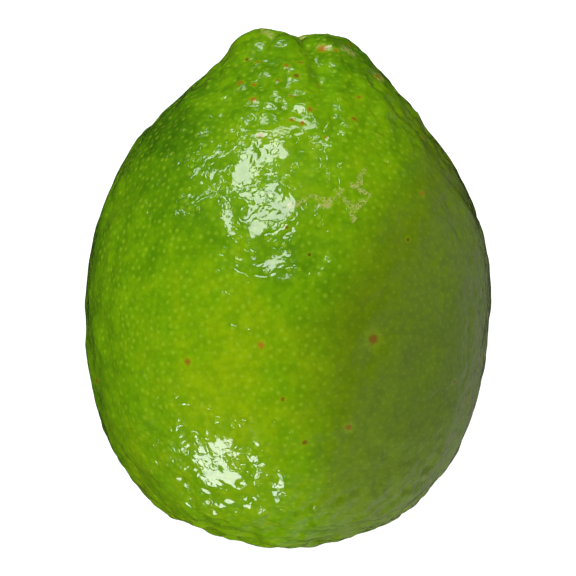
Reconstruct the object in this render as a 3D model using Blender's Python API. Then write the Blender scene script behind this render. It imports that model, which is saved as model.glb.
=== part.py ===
"""A whole ripe lime, lying on its side on a small flat spot.

Metres, +Z up. The origin is the middle of the resting spot, on the ground. The long axis runs
along Y: the narrow stem end points to +Y and the broad blossom end to -Y. The fruit grew as one
piece, so it is one solid.
"""

import math

import bmesh
import bpy
from mathutils import Matrix, Vector

MM = 0.001

# Half of the fruit's outline: distance from the blossom end and radius, in mm.
PROFILE = (
    (0.3, 0.0),
    (0.0, 2.0),
    (0.6, 4.7),
    (1.9, 8.8),
    (4.2, 14.2),
    (9.0, 18.75),
    (16.5, 22.45),
    (27.6, 24.2),
    (37.5, 23.2),
    (46.0, 19.65),
    (52.5, 14.9),
    (57.0, 10.4),
    (60.0, 7.3),
    (61.5, 4.7),
    (61.3, 2.9),
    (60.6, 0.0),
)
STEPS_PER_SPAN = 3
SEGMENTS = 60

# Across the axis: the fruit is a little flatter than wide.
FLATNESS = 0.975

# The axis isn't straight: each stretch leans to +X or, where negative, to -X, in mm.
NECK_BEND = 1.2
NECK_BEND_START = 48.0
SHOULDER_SHIFT = 0.3
SHOULDER_CENTRE = 36.0
BELLY_SHIFT = -0.2
BELLY_CENTRE = 14.0
SHIFT_REACH = 9.0

# The neck round the stem scar is lobed, and its end is cut slantwise, in mm.
NECK_START = 50.0
NECK_END = 60.0
LOBES = 5
LOBE_DEPTH = 0.06
LOBE_TURN = math.radians(-33.0)
RIM_RADIUS = 4.7
RIM_SLANT = 0.4

# How it lies: the narrow end droops, and its weight flattens the skin where it rests.
DROOP = math.radians(2.0)
REST_STATION = 29.8
FLAT_DEPTH = 0.45

PEEL_COLOUR = (0.17, 0.36, 0.012, 1.0)
PEEL_ROUGHNESS = 0.35


def clear_scene():
    for item in list(bpy.data.objects):
        bpy.data.objects.remove(item)


def smooth_step(low, high, value):
    """0 below low and 1 above high, with a soft ramp between."""
    ramp = min(max((value - low) / (high - low), 0.0), 1.0)
    return ramp * ramp * (3.0 - 2.0 * ramp)


def curve_through(points, steps):
    """Points on a Catmull-Rom curve through the given ones, mirrored in the axis at both ends."""
    first = (points[1][0], -points[1][1])
    last = (points[-2][0], -points[-2][1])
    guides = [Vector(p) for p in (first, *points, last)]
    curve = []
    for before, start, end, after in zip(guides, guides[1:], guides[2:], guides[3:]):
        for step in range(steps):
            t = step / steps
            curve.append(
                0.5
                * (
                    2.0 * start
                    + (end - before) * t
                    + (2.0 * before - 5.0 * start + 4.0 * end - after) * t**2
                    + (3.0 * start - before - 3.0 * end + after) * t**3
                )
            )
    curve.append(guides[-2])
    return curve


def axis_shift(station):
    """How far the middle of the fruit lies to +X at this station, in mm."""
    shoulder = SHOULDER_SHIFT * math.exp(-(((station - SHOULDER_CENTRE) / SHIFT_REACH) ** 2))
    belly = BELLY_SHIFT * math.exp(-(((station - BELLY_CENTRE) / SHIFT_REACH) ** 2))
    return shoulder + belly + NECK_BEND * smooth_step(NECK_BEND_START, NECK_END, station)


def skin_point(station, radius, turn):
    """A point of the skin in mm. The turn is measured round the axis from the top towards +X."""
    neck = smooth_step(NECK_START, NECK_END, station)
    lobed = radius * (1.0 + LOBE_DEPTH * neck * math.cos(LOBES * (turn - LOBE_TURN)))
    slant = RIM_SLANT * neck * math.cos(turn) * min(radius / RIM_RADIUS, 1.0)
    across = lobed * math.sin(turn) + axis_shift(station)
    up = lobed * FLATNESS * math.cos(turn)
    return Vector((across, station + slant, up))


def fruit_mesh():
    """The closed skin: one pole, rings of equal turns, and the other pole."""
    shape = bmesh.new()
    curve = curve_through(PROFILE, STEPS_PER_SPAN)
    blossom_pole = shape.verts.new(skin_point(curve[0].x, 0.0, 0.0))
    stem_pole = shape.verts.new(skin_point(curve[-1].x, 0.0, 0.0))
    turns = [math.tau * step / SEGMENTS for step in range(SEGMENTS)]
    rings = [[shape.verts.new(skin_point(p.x, p.y, turn)) for turn in turns] for p in curve[1:-1]]
    for near, far in zip(rings, rings[1:]):
        for step in range(SEGMENTS):
            after = (step + 1) % SEGMENTS
            shape.faces.new((near[step], near[after], far[after], far[step]))
    for step in range(SEGMENTS):
        after = (step + 1) % SEGMENTS
        shape.faces.new((blossom_pole, rings[0][after], rings[0][step]))
        shape.faces.new((stem_pole, rings[-1][step], rings[-1][after]))
    bmesh.ops.recalc_face_normals(shape, faces=shape.faces)
    return shape


def lay_down(shape):
    """Tilt the fruit, put its resting point at the origin, and press the flat spot into it."""
    rest_to_origin = Matrix.Translation(Vector((0.0, -REST_STATION, 0.0)))
    droop = Matrix.Rotation(-DROOP, 4, "X")
    bmesh.ops.transform(shape, matrix=Matrix.Scale(MM, 4) @ droop @ rest_to_origin, verts=shape.verts)
    lowest = min(vert.co.z for vert in shape.verts)
    lift = Vector((0.0, 0.0, -lowest - FLAT_DEPTH * MM))
    bmesh.ops.translate(shape, verts=shape.verts, vec=lift)
    cut = bmesh.ops.bisect_plane(
        shape,
        geom=shape.verts[:] + shape.edges[:] + shape.faces[:],
        plane_co=(0.0, 0.0, 0.0),
        plane_no=(0.0, 0.0, -1.0),
        clear_outer=True,
    )
    rim = [item for item in cut["geom_cut"] if isinstance(item, bmesh.types.BMEdge)]
    spot = bmesh.ops.contextual_create(shape, geom=rim)["faces"]
    middle = spot[0].calc_center_median()
    bmesh.ops.translate(shape, verts=shape.verts, vec=(-middle.x, -middle.y, 0.0))
    bmesh.ops.recalc_face_normals(shape, faces=shape.faces)


def peel_material():
    material = bpy.data.materials.new("peel")
    material.use_nodes = True
    shader = material.node_tree.nodes["Principled BSDF"]
    shader.inputs["Base Color"].default_value = PEEL_COLOUR
    shader.inputs["Roughness"].default_value = PEEL_ROUGHNESS
    shader.inputs["Metallic"].default_value = 0.0
    material.diffuse_color = PEEL_COLOUR
    return material


def build_lime():
    shape = fruit_mesh()
    lay_down(shape)
    mesh = bpy.data.meshes.new("lime")
    shape.to_mesh(mesh)
    shape.free()
    mesh.shade_smooth()
    mesh.materials.append(peel_material())
    lime = bpy.data.objects.new("lime", mesh)
    bpy.context.scene.collection.objects.link(lime)
    return lime


clear_scene()
build_lime()
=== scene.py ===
import math

import bpy
import numpy as np
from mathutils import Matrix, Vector, kdtree, noise


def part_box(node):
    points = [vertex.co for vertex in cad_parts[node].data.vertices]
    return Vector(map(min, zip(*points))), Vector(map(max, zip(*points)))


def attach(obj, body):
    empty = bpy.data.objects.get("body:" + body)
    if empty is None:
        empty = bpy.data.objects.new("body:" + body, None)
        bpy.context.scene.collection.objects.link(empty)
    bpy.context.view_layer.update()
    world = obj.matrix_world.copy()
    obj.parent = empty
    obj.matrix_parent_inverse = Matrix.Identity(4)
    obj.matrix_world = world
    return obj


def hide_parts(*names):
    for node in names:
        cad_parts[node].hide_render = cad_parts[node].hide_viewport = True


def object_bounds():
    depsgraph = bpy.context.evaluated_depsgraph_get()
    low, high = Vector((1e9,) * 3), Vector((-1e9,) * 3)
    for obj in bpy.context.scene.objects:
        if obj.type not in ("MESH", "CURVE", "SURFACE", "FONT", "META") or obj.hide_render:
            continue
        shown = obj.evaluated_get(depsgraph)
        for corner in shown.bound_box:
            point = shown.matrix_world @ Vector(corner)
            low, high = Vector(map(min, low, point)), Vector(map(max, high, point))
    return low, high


# The looks of a whole lime, lying on its side: stem end at +Y, blossom end at -Y, resting spot at z = 0.
# Lengths are in millimetres unless a name or a comment says otherwise, and meshes are written in metres.

MM = 0.001
SEED = 41
HALF_WIDTH = 24.0
NOT_NEAR = 9.0
# The camera stands this far above the fruit's middle. The marks are placed as they show from there.
VIEW_DISTANCE = 574.0

# The outline, as the CAD solid has it: distance from the blossom end and radius.
PROFILE = (
    (0.3, 0.0),
    (0.0, 2.0),
    (0.6, 4.7),
    (1.9, 8.8),
    (4.2, 14.2),
    (9.0, 18.75),
    (16.5, 22.45),
    (27.6, 24.2),
    (37.5, 23.2),
    (46.0, 19.65),
    (52.5, 14.9),
    (57.0, 10.4),
    (60.0, 7.3),
    (61.5, 4.7),
    (61.3, 2.9),
    (60.6, 0.0),
)
PROFILE_STEPS = 24
FLATNESS = 0.975
NECK_BEND = 1.2
NECK_BEND_START = 48.0
SHOULDER_SHIFT = 0.3
SHOULDER_CENTRE = 36.0
BELLY_SHIFT = -0.2
BELLY_CENTRE = 14.0
SHIFT_REACH = 9.0
NECK_END = 60.0
DROOP = math.radians(2.0)
FLAT_DEPTH = 0.45

# The skin mesh is a cube's grid blown up to the fruit: this many quads along each cube edge.
GRID = 128

# Furrows down the neck: turn from the top towards +X in degrees, depth, width, and where each one starts.
FURROWS = (
    (17.0, 1.60, 1.40, 51.0),
    (-33.0, 0.60, 0.75, 55.0),
    (104.0, 0.45, 0.80, 55.0),
    (138.0, 0.80, 0.90, 53.5),
    (170.0, 0.50, 0.70, 55.0),
    (-112.0, 0.60, 0.90, 54.0),
    (-150.0, 0.85, 0.80, 53.0),
)
# Humps of the rim round the stem scar: turn and reach in degrees, and height.
RIM_HUMPS = (
    (-80.0, 30.0, 0.8),
    (48.0, 26.0, -0.15),
    (12.0, 18.0, -0.9),
    (150.0, 35.0, 0.3),
)
RIM_START = 56.0
RIM_END = 61.0

GLAND_SPACING = 0.80
EVENING_ROUNDS = 2
PITS_NEAR = 3
PIT_REACH = 0.3
PIT_REACH_BY_DEPTH = 1.1


def smooth_step(low, high, value):
    ramp = np.clip((value - low) / (high - low), 0.0, 1.0)
    return ramp * ramp * (3.0 - 2.0 * ramp)


def bell(value, centre, reach):
    return np.exp(-(((value - centre) / reach) ** 2))


def fractal(points, size, octaves, seed):
    """Smooth noise of about -1 to 1 at each point, with bumps about this size."""
    away = Vector((seed * 17.3, seed * 5.1, seed * 11.7))
    spots = [Vector(p) / size + away for p in points.tolist()]
    return np.array([noise.fractal(p, 1.0, 2.0, octaves) for p in spots])


# ---------------------------------------------------------------- the skin's shape


def outline():
    """The profile as a dense smooth curve: stations, radii, and the share of skin area before each."""
    points = np.array(PROFILE)
    ends = points[[1, -2]] * (1.0, -1.0)
    guides = np.vstack((ends[:1], points, ends[1:]))
    t = np.arange(PROFILE_STEPS)[:, None] / PROFILE_STEPS
    spans = []
    for before, start, end, after in zip(guides, guides[1:], guides[2:], guides[3:]):
        slope = (end - before) * t
        bow = (2.0 * before - 5.0 * start + 4.0 * end - after) * t**2
        twist = (3.0 * start - before - 3.0 * end + after) * t**3
        spans.append(0.5 * (2.0 * start + slope + bow + twist))
    curve = np.vstack((*spans, points[-1:]))
    steps = np.linalg.norm(np.diff(curve, axis=0), axis=1)
    bands = steps * (curve[1:, 1] + curve[:-1, 1])
    share = np.concatenate(([0.0], np.cumsum(bands)))
    return curve[:, 0], curve[:, 1], share / share[-1]


def cube_grid():
    """Points of a unit sphere on a cube's grid, its quads, and each corner's place on a flat map."""
    side = np.arange(GRID + 1) * 2 - GRID
    across, up = np.meshgrid(side, side, indexing="ij")
    full = np.full_like(across, GRID)
    sheets = (
        (full, across, up),
        (-full, up, across),
        (up, full, across),
        (across, -full, up),
        (across, up, full),
        (up, across, -full),
    )
    lattice = np.concatenate([np.stack(sheet, axis=-1).reshape(-1, 3) for sheet in sheets])
    corners, place = np.unique(lattice, axis=0, return_inverse=True)
    place = place.reshape(6, GRID + 1, GRID + 1)
    near, far = slice(None, -1), slice(1, None)
    quads = np.stack(
        (place[:, near, near], place[:, far, near], place[:, far, far], place[:, near, far]), axis=-1
    ).reshape(-1, 4)
    spread = np.tan(corners / GRID * math.pi / 4.0)
    sphere = spread / np.linalg.norm(spread, axis=1, keepdims=True)
    margin = 0.01
    u, v = np.meshgrid(np.arange(GRID + 1) / GRID, np.arange(GRID + 1) / GRID, indexing="ij")
    charts = []
    for chart in range(6):
        left = (chart % 3 + margin + u * (1.0 - 2.0 * margin)) / 3.0
        low = (chart // 3 + margin + v * (1.0 - 2.0 * margin)) / 2.0
        flat = np.stack((left, low), axis=-1)
        charts.append(np.stack((flat[:-1, :-1], flat[1:, :-1], flat[1:, 1:], flat[:-1, 1:]), axis=2))
    return sphere, quads, np.concatenate([chart.reshape(-1, 2) for chart in charts])


def axis_shift(station):
    shoulder = SHOULDER_SHIFT * bell(station, SHOULDER_CENTRE, SHIFT_REACH)
    belly = BELLY_SHIFT * bell(station, BELLY_CENTRE, SHIFT_REACH)
    return shoulder + belly + NECK_BEND * smooth_step(NECK_BEND_START, NECK_END, station)


def turned(turn, degrees):
    """How far round from a direction, between minus and plus half a turn."""
    return (turn - math.radians(degrees) + math.pi) % math.tau - math.pi


def neck_relief(station, radius, turn):
    """What the neck's furrows take off the radius, and what its rim's humps add along the axis."""
    cut = np.zeros_like(radius)
    for degrees, depth, width, start in FURROWS:
        beside = radius * turned(turn, degrees)
        cut += depth * smooth_step(start, start + 5.5, station) * bell(beside, 0.0, width)
    rise = np.zeros_like(radius)
    for degrees, reach, height in RIM_HUMPS:
        rise += height * bell(turned(turn, degrees), 0.0, math.radians(reach))
    on_rim = smooth_step(RIM_START, RIM_END, station) * smooth_step(1.5, 4.0, radius)
    return np.minimum(cut, 0.6 * radius), rise * on_rim


def lay_down(points):
    """Droops the narrow end, presses the flat spot in, and sets the fruit where the CAD solid is."""
    lean = np.array(((1.0, 0.0, 0.0), (0.0, math.cos(DROOP), math.sin(DROOP)),
                     (0.0, -math.sin(DROOP), math.cos(DROOP))))
    points = points @ lean.T
    points[:, 2] -= points[:, 2].min() + FLAT_DEPTH
    low, high = (np.array(corner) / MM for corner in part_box("lime"))
    middle = (points.max(0) + points.min(0)) / 2.0
    points[:, :2] += ((low + high) / 2.0 - middle)[:2]
    return points


def vertex_normals(points, quads):
    mesh = bpy.data.meshes.new("normals")
    mesh.from_pydata(points, [], quads)
    normals = np.empty(len(points) * 3)
    mesh.vertex_normals.foreach_get("vector", normals)
    bpy.data.meshes.remove(mesh)
    return normals.reshape(-1, 3)


# ---------------------------------------------------------------- oil glands


def gland_places(points, rng):
    """Evenly spread random points of the skin, never closer than GLAND_SPACING, then evened out."""
    taken = {}
    kept = []
    cells = np.floor(points / GLAND_SPACING).astype(int)
    neighbours = [(i, j, k) for i in (-1, 0, 1) for j in (-1, 0, 1) for k in (-1, 0, 1)]
    rows = points.tolist()
    cell_rows = cells.tolist()
    reach = GLAND_SPACING**2
    for index in rng.permutation(len(points)).tolist():
        x, y, z = rows[index]
        a, b, c = cell_rows[index]
        crowded = False
        for i, j, k in neighbours:
            other = taken.get((a + i, b + j, c + k))
            if other is not None:
                if (x - other[0]) ** 2 + (y - other[1]) ** 2 + (z - other[2]) ** 2 < reach:
                    crowded = True
                    break
        if not crowded:
            taken[(a, b, c)] = (x, y, z)
            kept.append(index)
    places = points[kept]
    for _ in range(EVENING_ROUNDS):
        nearest = nearest_of(places, points)
        count = np.bincount(nearest, minlength=len(places)).astype(float)
        sums = np.stack([np.bincount(nearest, points[:, k], len(places)) for k in range(3)], axis=1)
        places = sums / np.maximum(count, 1.0)[:, None]
    return places


def tree_of(places):
    tree = kdtree.KDTree(len(places))
    for index, place in enumerate(places.tolist()):
        tree.insert(place, index)
    tree.balance()
    return tree


def nearest_of(places, points):
    """For each point, the index of the nearest place."""
    tree = tree_of(places)
    found = [tree.find(p) for p in points.tolist()]
    return np.array([f[1] for f in found])


def pit_depths(points, places, rng):
    """How deep each gland's pit is: shallow on top, deeper at the side at +X and at both ends."""
    low, high = points.min(0), points.max(0)
    middle = (low + high) / 2.0
    along = (places[:, 1] - middle[1]) / (high[1] - low[1]) * 2.0
    beside = (places[:, 0] - middle[0]) / (high[0] - low[0]) * 2.0
    rough = 0.55 * smooth_step(0.35, 0.8, along)
    rough += 0.4 * smooth_step(0.35, 0.95, beside)
    rough += 0.7 * smooth_step(0.5, 0.9, -along)
    patch = fractal(places, 7.0, 2, 3)
    chance = rng.random(len(places)) ** (5.0 - 3.0 * rough.clip(0.0, 1.0))
    common = (0.005 + 0.05 * rough) * (0.6 + 0.5 * patch.clip(-0.6, 1.0))
    return common + (0.07 + 0.38 * rough) * chance


def pitted(points, places, depths):
    """The displacement of each point by the pits near it."""
    tree = tree_of(places)
    sunk = np.zeros(len(points))
    for row, point in enumerate(points.tolist()):
        total = 0.0
        for _place, index, gap in tree.find_n(point, PITS_NEAR):
            reach = PIT_REACH + PIT_REACH_BY_DEPTH * depths[index]
            total += depths[index] * math.exp(-((gap / reach) ** 2))
        sunk[row] = total
    return -sunk


# ---------------------------------------------------------------- marks on the skin

# Places below are seen from above, in mm from the middle of the fruit: to +X, and towards the stem.
# Brown specks: place, size across, and how dark, from 0, orange, to 1, nearly black.
SPECKS = (
    (-5.7, 24.5, 0.55, 0.3), (-4.1, 24.2, 0.45, 0.3), (1.1, 25.3, 0.55, 0.8), (1.4, 26.9, 0.50, 0.3),
    (-0.2, 26.5, 0.45, 0.3), (-3.6, 27.0, 0.35, 0.4), (-4.8, 27.4, 0.40, 0.9), (-1.3, 24.8, 0.35, 0.5),
    (0.4, 22.9, 0.35, 0.3), (-4.2, 22.6, 0.60, 0.2), (3.5, 24.1, 0.40, 0.5), (8.4, 22.8, 0.45, 0.3),
    (2.5, 21.2, 0.50, 0.3), (7.9, 20.2, 0.60, 0.4), (0.4, 20.0, 0.45, 0.3), (1.7, 19.7, 0.50, 0.3),
    (-3.3, 18.1, 0.45, 0.4), (4.4, 17.9, 0.30, 0.2), (-0.2, 7.2, 0.30, 0.7), (2.6, 3.8, 0.30, 1.0),
    (14.4, 5.8, 0.35, 0.9), (16.1, 11.2, 0.45, 0.1), (16.2, 17.9, 0.40, 0.2), (10.1, -6.2, 1.00, 0.6),
    (-12.1, -8.8, 0.65, 0.4), (-3.3, -7.0, 0.60, 0.0), (-0.7, -13.2, 0.40, 0.6), (2.1, -18.4, 0.50, 0.7),
    (7.2, -16.7, 0.60, 0.5), (19.8, -11.3, 0.40, 0.5), (21.6, -13.4, 0.50, 0.4), (-22.9, -11.1, 0.50, 0.5),
    (3.9, 28.7, 0.80, 0.1), (5.6, 28.4, 0.45, 0.2), (10.7, 25.3, 0.60, 0.3), (7.5, 29.0, 0.5, 0.2),
)
HIDDEN_SPECKS = 40

# Pale corky grazes: the strokes they are made of.
GRAZE = (
    ((9.1, 14.0), (8.6, 13.1), (8.5, 12.4), (8.0, 12.1), (7.6, 12.2)),
    ((8.2, 12.2), (8.7, 11.7), (9.3, 11.2), (9.7, 11.0)),
    ((6.3, 11.6), (5.7, 10.9), (5.1, 10.3), (4.1, 10.5), (2.9, 11.0)),
    ((2.9, 11.0), (2.1, 10.6), (1.2, 10.1), (0.2, 9.9)),
    ((6.8, 10.4), (7.4, 10.0), (7.9, 9.4), (7.6, 8.8), (7.9, 8.2)),
    ((7.9, 9.4), (8.5, 9.8), (9.1, 10.3)),
    ((5.0, 10.1), (4.5, 9.7), (3.6, 9.8)),
    ((-3.1, 30.8), (-2.5, 30.5), (-1.9, 30.1)),
    ((3.6, 28.9), (4.4, 28.7), (5.2, 28.6)),
    ((6.5, 28.7), (7.3, 28.3), (7.9, 27.9)),
    ((10.3, 25.6), (10.7, 25.3), (11.1, 24.9)),
)


def seen_flat(points):
    """Where each point shows from VIEW_DISTANCE above the middle: across, along, and whether it shows."""
    out = points - (points.max(0) + points.min(0)) / 2.0
    nearer = VIEW_DISTANCE / (VIEW_DISTANCE - out[:, 2:])
    return out[:, :2] * nearer, out[:, 2] > -1.0


def seen_from_above(points, places):
    """The row of the upper skin's point that shows at each place."""
    flat, shows = seen_flat(points)
    upper = np.flatnonzero(shows)
    gaps = [np.linalg.norm(flat[upper] - place, axis=1) for place in places]
    return np.array([upper[np.argmin(gap)] for gap in gaps])


def stroke_distance(points, strokes):
    """For each point, how far it is from the nearest stroke on the upper skin."""
    flat, shows = seen_flat(points)
    gap = np.full(len(points), NOT_NEAR)
    for stroke in strokes:
        for start, end in zip(np.array(stroke), np.array(stroke)[1:]):
            run = end - start
            part = np.clip((flat - start) @ run / (run @ run), 0.0, 1.0)
            gap = np.minimum(gap, np.linalg.norm(flat - start - part[:, None] * run, axis=1))
    gap[~shows] = NOT_NEAR
    return gap


def from_middle(points):
    """Each point's place from the middle of the fruit, in half widths: to +X, to +Y and up."""
    return ((points - (points.max(0) + points.min(0)) / 2.0) / HALF_WIDTH).T


def yellow_tone(points):
    """How yellow the skin is, from 0 where it is dark green to 1 where it is yellowest: yellower towards
    the lower left, darker towards the stem end, the left edge and the upper left, in blotches.
    """
    x, y, _up = from_middle(points)
    yellow_amount = 0.6 + 0.38 * bell(x, -0.36, 0.42) * bell(y, -0.5, 0.45)
    yellow_amount -= 0.15 * smooth_step(0.75, 1.2, y)
    yellow_amount -= 0.2 * smooth_step(-0.7, -1.0, x)
    yellow_amount -= 0.35 * bell(x, -0.65, 0.38) * bell(y, 0.68, 0.4)
    yellow_amount += 0.14 * fractal(points, 14.0, 3, 8)
    return np.clip(yellow_amount, 0.0, 1.0)


def painted_shade_side(points):
    """Painted shade: how far the skin is darkened to olive on the side at +X, most of all towards the
    blossom end, fading out over the lower half.
    """
    x, y, up = from_middle(points)
    edge = np.clip(0.05 + 0.55 * y, -0.05, 0.45) + 0.10 * fractal(points, 9.0, 3, 12)
    return smooth_step(0.0, 0.4, x - edge) * smooth_step(-1.0, 0.0, up)


def add_attribute(mesh, name, kind, domain, values):
    layer = mesh.attributes.new(name, kind, domain)
    layer.data.foreach_set("vector" if kind == "FLOAT_VECTOR" else "value", np.ravel(values))


def grown_skin(sphere):
    """The plain skin round the grid: its points, and each one's station and radius."""
    stations, radii, shares = outline()
    share = (1.0 + sphere[:, 1]) / 2.0
    station = np.interp(share, shares, stations)
    radius = np.interp(share, shares, radii)
    turn = np.arctan2(sphere[:, 0], sphere[:, 2])
    cut, rise = neck_relief(station, radius, turn)
    reach = radius - cut
    across = reach * np.sin(turn) + axis_shift(station)
    up = reach * FLATNESS * np.cos(turn)
    return lay_down(np.stack((across, station + rise, up), axis=1)), station, radius


def swelling(skin, station):
    """How far each point stands out from the plain skin, before the pits."""
    swell = 0.16 * fractal(skin, 11.0, 2, 1) + 0.30 * fractal(skin, 3.8, 1, 2)
    patches = 0.8 + 1.2 * fractal(skin, 4.0, 1, 6)
    ends = smooth_step(46.0, 54.0, station) + 0.5 * smooth_step(20.0, 8.0, station)
    calm = 1.0 - 0.6 * smooth_step(8.0, 18.0, skin[:, 0])
    return swell + (0.12 * calm + 0.26 * ends) * fractal(skin, 1.9, 1, 5) * patches.clip(0.4, 1.6)


def add_glands(mesh, glands, centres, faces, rng):
    owner = nearest_of(centres, faces)
    add_attribute(mesh, "gland", "FLOAT_VECTOR", "FACE", centres[owner] * MM)
    # Glands show less where shade is painted on the side at +X.
    luck = rng.random(len(glands)) * (1.0 - 0.8 * painted_shade_side(glands))
    add_attribute(mesh, "gland_luck", "FLOAT", "FACE", luck[owner])


def add_specks(mesh, shaped, faces, rng):
    """The listed specks on the upper skin, and random ones below."""
    specks = np.array(SPECKS)
    speck_rows = seen_from_above(shaped, specks[:, :2])
    under = np.flatnonzero(shaped[:, 2] < shaped[:, 2].max() * 0.45)
    hidden = rng.choice(under, HIDDEN_SPECKS, replace=False)
    speck_centres = shaped[np.concatenate((speck_rows, hidden))]
    sizes = np.concatenate((specks[:, 2], rng.uniform(0.3, 0.7, HIDDEN_SPECKS)))
    darks = np.concatenate((specks[:, 3], rng.uniform(0.1, 0.9, HIDDEN_SPECKS)))
    speck = nearest_of(speck_centres, faces)
    add_attribute(mesh, "speck", "FLOAT_VECTOR", "FACE", speck_centres[speck] * MM)
    add_attribute(mesh, "speck_size", "FLOAT", "FACE", sizes[speck])
    add_attribute(mesh, "speck_dark", "FLOAT", "FACE", darks[speck])


def build_lime():
    rng = np.random.default_rng(SEED)
    sphere, quads, map_corners = cube_grid()
    skin, station, radius = grown_skin(sphere)
    glands = gland_places(skin, rng)
    depths = pit_depths(skin, glands, rng)
    swell = swelling(skin, station) + pitted(skin, glands, depths)
    shaped = skin + vertex_normals(skin, quads) * swell[:, None]
    shaped[:, 2] = np.maximum(shaped[:, 2], 0.0)

    mesh = bpy.data.meshes.new("lime_skin")
    mesh.from_pydata(shaped * MM, [], quads)
    flat_map = mesh.uv_layers.new(name="OFBake")
    flat_map.uv.foreach_set("vector", map_corners.ravel())

    on_skin = nearest_of(skin, glands)
    gland_centres = shaped[on_skin] + (glands - skin[on_skin])
    faces = shaped[quads].mean(axis=1)
    add_glands(mesh, glands, gland_centres, faces, rng)
    add_specks(mesh, shaped, faces, rng)
    add_attribute(mesh, "graze", "FLOAT", "POINT", stroke_distance(shaped, GRAZE))
    add_attribute(mesh, "yellow_tone", "FLOAT", "POINT", yellow_tone(shaped))
    # The painted shade on the side at +X.
    add_attribute(mesh, "painted_shade_side", "FLOAT", "POINT", painted_shade_side(shaped))
    add_attribute(mesh, "from_stem", "FLOAT", "POINT", np.where(station > 40.0, radius, NOT_NEAR))
    add_attribute(mesh, "from_blossom", "FLOAT", "POINT", np.where(station < 20.0, radius, NOT_NEAR))
    mesh.shade_smooth()
    lime = bpy.data.objects.new("lime_skin", mesh)
    bpy.context.scene.collection.objects.link(lime)
    return lime


# ---------------------------------------------------------------- materials


class Nodes:
    """A material's node tree, with one short call for each kind of node."""

    def __init__(self, name):
        self.material = bpy.data.materials.new(name)
        self.material.use_nodes = True
        self.tree = self.material.node_tree
        self.shader = self.tree.nodes["Principled BSDF"]

    def fill(self, socket, value):
        if isinstance(value, bpy.types.NodeSocket):
            self.tree.links.new(value, socket)
        else:
            socket.default_value = value

    def attribute(self, name, output="Fac"):
        node = self.tree.nodes.new("ShaderNodeAttribute")
        node.attribute_name = name
        return node.outputs[output]

    def place(self):
        return self.tree.nodes.new("ShaderNodeTexCoord").outputs["Object"]

    def maths(self, operation, *values):
        node = self.tree.nodes.new("ShaderNodeMath")
        node.operation = operation
        for socket, value in zip(node.inputs, values):
            self.fill(socket, value)
        return node.outputs[0]

    def gap(self, first, second):
        node = self.tree.nodes.new("ShaderNodeVectorMath")
        node.operation = "DISTANCE"
        self.fill(node.inputs[0], first)
        self.fill(node.inputs[1], second)
        return node.outputs["Value"]

    def ramp(self, value, low, high, to_low=0.0, to_high=1.0):
        node = self.tree.nodes.new("ShaderNodeMapRange")
        node.interpolation_type = "SMOOTHSTEP"
        for name, item in (("Value", value), ("From Min", low), ("From Max", high),
                           ("To Min", to_low), ("To Max", to_high)):
            self.fill(node.inputs[name], item)
        return node.outputs["Result"]

    def noise(self, place, size, detail=2.0, roughness=0.5):
        """Noise of 0 to 1 whose bumps are about this many mm across."""
        node = self.tree.nodes.new("ShaderNodeTexNoise")
        self.fill(node.inputs["Vector"], place)
        node.inputs["Scale"].default_value = 1.0 / (size * MM)
        node.inputs["Detail"].default_value = detail
        node.inputs["Roughness"].default_value = roughness
        return node.outputs["Fac"]

    def mix(self, factor, first, second, mode="MIX"):
        node = self.tree.nodes.new("ShaderNodeMix")
        node.data_type = "RGBA"
        node.blend_type = mode
        self.fill(node.inputs["Factor"], factor)
        self.fill(node.inputs["A"], first)
        self.fill(node.inputs["B"], second)
        return node.outputs["Result"]

    def colours(self, value, stops):
        node = self.tree.nodes.new("ShaderNodeValToRGB")
        self.fill(node.inputs["Fac"], value)
        while len(node.color_ramp.elements) < len(stops):
            node.color_ramp.elements.new(0.5)
        for element, (position, colour) in zip(node.color_ramp.elements, stops):
            element.position = position
            element.color = (*colour, 1.0)
        return node.outputs["Color"]

    def bump(self, height, distance, strength, normal=None):
        node = self.tree.nodes.new("ShaderNodeBump")
        self.fill(node.inputs["Height"], height)
        node.inputs["Distance"].default_value = distance * MM
        node.inputs["Strength"].default_value = strength
        if normal is not None:
            self.fill(node.inputs["Normal"], normal)
        return node.outputs["Normal"]


DARK_GREEN = (0.055, 0.165, 0.002)
LEAF_GREEN = (0.105, 0.270, 0.002)
LIME_GREEN = (0.175, 0.375, 0.002)
YELLOW_GREEN = (0.270, 0.430, 0.002)
# The olive painted as shade on the side at +X.
PAINTED_SHADE_OLIVE = (0.150, 0.250, 0.004)
GLAND_COLOUR = (0.330, 0.520, 0.020)
SHADE = (0.55, 0.68, 0.60, 1.0)
SPECK_ORANGE = (0.420, 0.170, 0.010)
SPECK_DARK = (0.090, 0.040, 0.004)
CORK = (0.520, 0.490, 0.160)
SCAR_BROWN = (0.180, 0.110, 0.045)

# The wax: a clear coat over skin that light enters a little way.
PEEL_GLOSS = {
    "Specular IOR Level": 0.03,
    "Subsurface Weight": 0.2,
    "Subsurface Radius": (0.7, 1.0, 0.1),
    "Subsurface Scale": 1.0 * MM,
    "Coat Weight": 1.0,
    "Coat Roughness": 0.07,
    "Coat IOR": 1.45,
}


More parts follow.
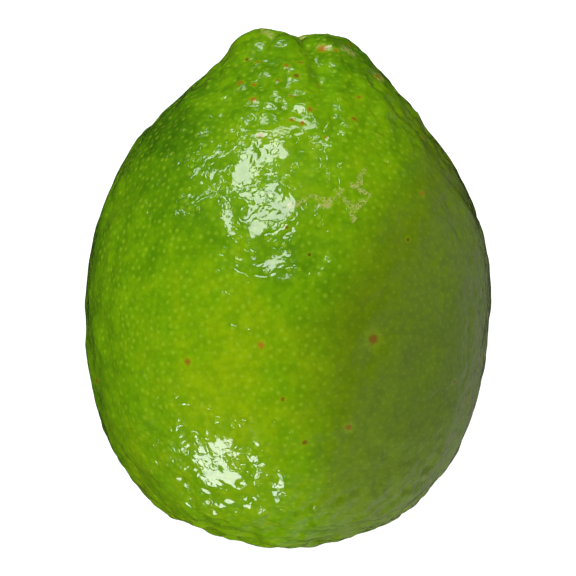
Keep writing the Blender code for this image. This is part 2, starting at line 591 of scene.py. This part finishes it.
def mottled_green(peel, place):
    """Green that turns yellower where its yellow tone is high and olive where shade is painted on the side
    at +X, in blotches and fine mottling.
    """
    patch = peel.noise(place, 9.0, 3.0)
    mottle = peel.noise(place, 2.4, 3.0, 0.6)
    tone = peel.maths("ADD", peel.attribute("yellow_tone"), peel.ramp(patch, 0.3, 0.7, -0.10, 0.10))
    tone = peel.maths("ADD", tone, peel.ramp(mottle, 0.3, 0.7, -0.14, 0.14))
    greens = ((0.0, DARK_GREEN), (0.3, LEAF_GREEN), (0.6, LIME_GREEN), (1.0, YELLOW_GREEN))
    # Painted shade: olive mixed in on the side at +X.
    skin = peel.mix(peel.attribute("painted_shade_side"), peel.colours(tone, greens), (*PAINTED_SHADE_OLIVE, 1.0))
    shaded = peel.ramp(peel.noise(place, 1.1, 3.0, 0.6), 0.62, 0.38, 0.0, 0.38)
    return peel.mix(shaded, skin, SHADE, "MULTIPLY")


def add_gland_dots(peel, skin, near_gland, luck):
    dot = peel.ramp(near_gland, 1.0, 0.1)
    dot_show = peel.maths("MULTIPLY", dot, peel.ramp(luck, 0.0, 1.0, 0.15, 0.55))
    return peel.mix(dot_show, skin, (*GLAND_COLOUR, 1.0))


def add_grazes(peel, skin, place):
    """Fine pale threads of cork near the strokes."""
    graze_edge = peel.noise(place, 0.6, 3.0, 0.7)
    graze_gap = peel.maths("ADD", peel.attribute("graze"), peel.ramp(graze_edge, 0.2, 0.8, -0.3, 0.3))
    thread_gap = peel.maths("ABSOLUTE", peel.maths("SUBTRACT", peel.noise(place, 0.45, 1.0), 0.5))
    graze = peel.maths("MULTIPLY", peel.ramp(graze_gap, 0.45, 0.1), peel.ramp(thread_gap, 0.13, 0.03))
    graze_show = peel.maths("MULTIPLY", graze, 0.7)
    return peel.mix(graze_show, skin, (*CORK, 1.0)), graze


def add_specks_to(peel, skin, place):
    """Rust-brown specks, each in a yellowish halo."""
    wobble = peel.ramp(peel.noise(place, 0.35, 2.0), 0.2, 0.8, 0.7, 1.3)
    speck_gap = peel.gap(place, peel.attribute("speck", "Vector"))
    speck_size = peel.maths("MULTIPLY", peel.attribute("speck_size"), 0.5 * MM)
    near_speck = peel.maths("DIVIDE", peel.maths("MULTIPLY", speck_gap, wobble), speck_size)
    halo = peel.ramp(near_speck, 3.4, 1.4, 0.0, 0.4)
    skin = peel.mix(halo, skin, (*YELLOW_GREEN, 1.0))
    speck = peel.ramp(near_speck, 1.8, 0.6, 0.0, 0.85)
    rust = peel.mix(peel.attribute("speck_dark"), (*SPECK_ORANGE, 1.0), (*SPECK_DARK, 1.0))
    return peel.mix(speck, skin, rust), speck


def add_scars(peel, skin, place):
    """Bark in the stem scar and the blossom scar, each in a ragged collar of cork."""
    ragged = peel.ramp(peel.noise(place, 0.9, 3.0, 0.6), 0.2, 0.8, -0.7, 0.7)
    from_stem = peel.maths("ADD", peel.attribute("from_stem"), ragged)
    from_blossom = peel.maths("ADD", peel.attribute("from_blossom"), ragged)
    collar = peel.maths("MAXIMUM", peel.ramp(from_stem, 3.4, 2.7), peel.ramp(from_blossom, 1.6, 1.0))
    scars = peel.maths("MAXIMUM", peel.ramp(from_stem, 2.6, 1.8), peel.ramp(from_blossom, 1.0, 0.5))
    skin = peel.mix(peel.maths("MULTIPLY", collar, 0.7), skin, (*CORK, 1.0))
    bark = peel.mix(peel.noise(place, 0.5, 3.0), (*SPECK_DARK, 1.0), (*SCAR_BROWN, 1.0))
    return peel.mix(scars, skin, bark), collar


def fine_relief(peel, place, near_gland, luck):
    """Uneven moats round some glands, curved creases, and ripples."""
    uneven = peel.ramp(peel.noise(place, 0.7, 1.0), 0.25, 0.75, 0.6, 1.6)
    moat_gap = peel.maths("ABSOLUTE", peel.maths("SUBTRACT", near_gland, uneven))
    moat = peel.maths("MULTIPLY", peel.ramp(moat_gap, 0.5, 0.0, 0.0, -1.0), peel.ramp(luck, 0.6, 1.0))
    normal = peel.bump(moat, 0.025, 1.0)
    crease_gap = peel.maths("ABSOLUTE", peel.maths("SUBTRACT", peel.noise(place, 2.6, 1.0), 0.5))
    crease = peel.ramp(crease_gap, 0.05, 0.0, 0.0, -1.0)
    crease = peel.maths("MULTIPLY", crease, peel.ramp(peel.noise(place, 3.5, 1.0), 0.45, 0.6))
    normal = peel.bump(crease, 0.030, 1.0, normal)
    return peel.bump(peel.noise(place, 1.0, 1.5), 0.09, 1.0, normal)


def peel_material():
    peel = Nodes("lime_peel")
    place = peel.place()
    luck = peel.attribute("gland_luck")
    gland_gap = peel.gap(place, peel.attribute("gland", "Vector"))
    near_gland = peel.maths("DIVIDE", gland_gap, peel.ramp(luck, 0.0, 1.0, 0.30 * MM, 0.42 * MM))

    skin = add_gland_dots(peel, mottled_green(peel, place), near_gland, luck)
    skin, graze = add_grazes(peel, skin, place)
    skin, speck = add_specks_to(peel, skin, place)
    skin, collar = add_scars(peel, skin, place)
    peel.fill(peel.shader.inputs["Base Color"], skin)

    waxy = peel.ramp(peel.noise(place, 0.6, 3.0), 0.3, 0.7, 0.30, 0.42)
    dull = peel.maths("MAXIMUM", peel.maths("MAXIMUM", graze, speck), collar)
    rough = peel.maths("ADD", waxy, peel.maths("MULTIPLY", dull, 0.3))
    peel.fill(peel.shader.inputs["Roughness"], rough)

    normal = fine_relief(peel, place, near_gland, luck)
    peel.fill(peel.shader.inputs["Normal"], normal)
    peel.fill(peel.shader.inputs["Coat Normal"], normal)
    for name, value in PEEL_GLOSS.items():
        peel.shader.inputs[name].default_value = value
    return peel.material


def floor_material():
    floor = Nodes("pale_floor")
    grain = floor.noise(floor.place(), 6.0, 3.0)
    floor.fill(floor.shader.inputs["Base Color"], floor.mix(grain, *FLOOR_GREYS))
    floor.shader.inputs["Roughness"].default_value = 0.9
    floor.shader.inputs["Emission Color"].default_value = WHITE
    floor.shader.inputs["Emission Strength"].default_value = FLOOR_GLOW
    return floor.material


# ---------------------------------------------------------------- stage, lights and camera

# The floor, the lights' sizes and their distance are in metres. Radiances are in W/(sr m2).
FLOOR_SIZE = 12.0
FLOOR_GREYS = ((0.48, 0.48, 0.48, 1.0), (0.52, 0.52, 0.52, 1.0))
FLOOR_GLOW = 0.85
GLOW_WAY = (0.80, -0.45, -0.20)
GLOW_TINT = (1.0, 0.98, 0.84, 1.0)
GLOW_SPREAD = (0.32, 0.85)
BACKDROP_LIGHT = 0.95
WHITE = (1.0, 1.0, 1.0, 1.0)
ROOM_LIGHT = 0.01
GLOW_LIGHT = 0.37
LIGHT_DISTANCE = 0.6
LENS = 300.0
SENSOR = 36.0


def build_floor():
    mesh = bpy.data.meshes.new("floor")
    half = FLOOR_SIZE / 2.0
    corners = ((-half, -half, 0.0), (half, -half, 0.0), (half, half, 0.0), (-half, half, 0.0))
    mesh.from_pydata(corners, [], [(0, 1, 2, 3)])
    mesh.materials.append(floor_material())
    floor = bpy.data.objects.new("floor", mesh)
    floor.visible_glossy = False
    floor.visible_diffuse = False
    bpy.context.scene.collection.objects.link(floor)
    return floor


def add_light(name, target, tilt, bearing, size, radiance):
    """An area light this many degrees off straight up, towards a bearing from +X, facing the target."""
    data = bpy.data.lights.new(name, "AREA")
    data.shape = "RECTANGLE"
    data.size, data.size_y = size
    data.energy = radiance * math.pi * size[0] * size[1]
    light = bpy.data.objects.new(name, data)
    tilt, bearing = math.radians(tilt), math.radians(bearing)
    flat = Vector((math.cos(bearing), math.sin(bearing), 0.0))
    way = flat * math.sin(tilt) + Vector((0.0, 0.0, math.cos(tilt)))
    light.location = target + way * LIGHT_DISTANCE
    light.rotation_euler = (-way).to_track_quat("-Z", "Y").to_euler()
    light.visible_camera = False
    bpy.context.scene.collection.objects.link(light)
    return light


def build_world():
    """A dark room with a soft glow low down at +X and -Y. The camera itself sees a white backdrop."""
    world = bpy.data.worlds.new("studio")
    world.use_nodes = True
    tree = world.node_tree
    backdrop = tree.nodes["Background"]
    way = tree.nodes.new("ShaderNodeTexCoord").outputs["Generated"]
    facing = tree.nodes.new("ShaderNodeVectorMath")
    facing.operation = "DOT_PRODUCT"
    facing.inputs[1].default_value = Vector(GLOW_WAY).normalized()
    tree.links.new(way, facing.inputs[0])
    glow = tree.nodes.new("ShaderNodeMapRange")
    glow.interpolation_type = "SMOOTHSTEP"
    glow.inputs["From Min"].default_value, glow.inputs["From Max"].default_value = GLOW_SPREAD
    glow.inputs["To Min"].default_value = ROOM_LIGHT
    glow.inputs["To Max"].default_value = GLOW_LIGHT
    tree.links.new(facing.outputs["Value"], glow.inputs["Value"])
    seen = tree.nodes.new("ShaderNodeLightPath").outputs["Is Camera Ray"]
    shown = tree.nodes.new("ShaderNodeMix")
    shown.inputs["B"].default_value = BACKDROP_LIGHT
    tree.links.new(seen, shown.inputs["Factor"])
    tree.links.new(glow.outputs["Result"], shown.inputs["A"])
    tree.links.new(shown.outputs["Result"], backdrop.inputs["Strength"])
    tint = tree.nodes.new("ShaderNodeMix")
    tint.data_type = "RGBA"
    tint.inputs["A"].default_value = GLOW_TINT
    tint.inputs["B"].default_value = WHITE
    tree.links.new(seen, tint.inputs["Factor"])
    tree.links.new(tint.outputs["Result"], backdrop.inputs["Color"])
    bpy.context.scene.world = world


def build_lights(target):
    add_light("key", target, 48.0, 108.0, (0.24, 0.36), 12.0)
    add_light("side_window", target, 79.0, 131.0, (0.16, 0.04), 10.0)
    add_light("low_window", target, 76.0, 238.0, (0.30, 0.20), 13.5)
    add_light("far_window", target, 78.0, 92.0, (0.30, 0.08), 8.0)
    fill = add_light("fill", target, 55.0, -50.0, (0.3, 0.3), 4.6)
    fill.visible_glossy = False


def build_camera(target):
    data = bpy.data.cameras.new("camera")
    data.lens = LENS
    data.sensor_width = SENSOR
    data.clip_start = 0.01
    data.clip_end = 100.0
    camera = bpy.data.objects.new("camera", data)
    camera.location = target + Vector((0.0, 0.0, VIEW_DISTANCE * MM))
    bpy.context.scene.collection.objects.link(camera)
    bpy.context.scene.camera = camera


# ---------------------------------------------------------------- putting it together

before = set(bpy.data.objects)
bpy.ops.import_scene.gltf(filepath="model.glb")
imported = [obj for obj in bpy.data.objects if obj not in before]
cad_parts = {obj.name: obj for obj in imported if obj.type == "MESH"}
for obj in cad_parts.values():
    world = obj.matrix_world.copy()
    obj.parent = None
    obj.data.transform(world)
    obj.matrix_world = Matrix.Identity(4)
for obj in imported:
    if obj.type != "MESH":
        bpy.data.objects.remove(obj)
cad_low, cad_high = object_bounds()
scene = bpy.context.scene
scene.view_settings.view_transform = "Standard"

lime = build_lime()
lime.data.materials.append(peel_material())
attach(lime, "root")
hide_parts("lime")

floor = build_floor()
middle = (cad_low + cad_high) / 2.0
build_lights(middle)
build_world()
build_camera(middle)
